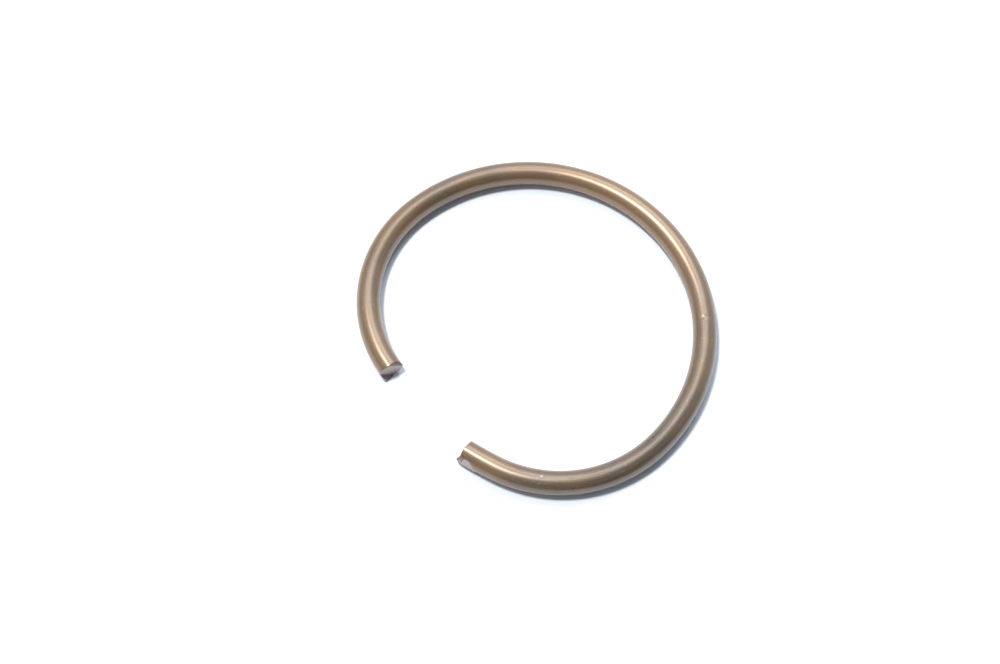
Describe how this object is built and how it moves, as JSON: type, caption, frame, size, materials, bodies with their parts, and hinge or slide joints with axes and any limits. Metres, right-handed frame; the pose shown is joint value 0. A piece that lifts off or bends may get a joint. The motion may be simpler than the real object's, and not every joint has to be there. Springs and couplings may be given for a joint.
{
  "type": "circlip",
  "caption": "Open snap ring of round spring wire with sheared ends; sprung into a groove, it holds a pin or bearing endwise.",
  "frame": {"origin": "centre of the back arc, in the middle of the wire's thickness", "axes": "+Z is the ring's axis, so the ring lies flat in XY; the open gap faces -Y and the middle of the back is on +Y"},
  "size_m": [0.0314, 0.0278, 0.002],
  "materials": {
    "spring_wire": "drawn spring steel with a brown temper film, satin"
  },
  "bodies": {
    "root": {"snap_ring": "spring_wire"}
  },
  "joints": []
}
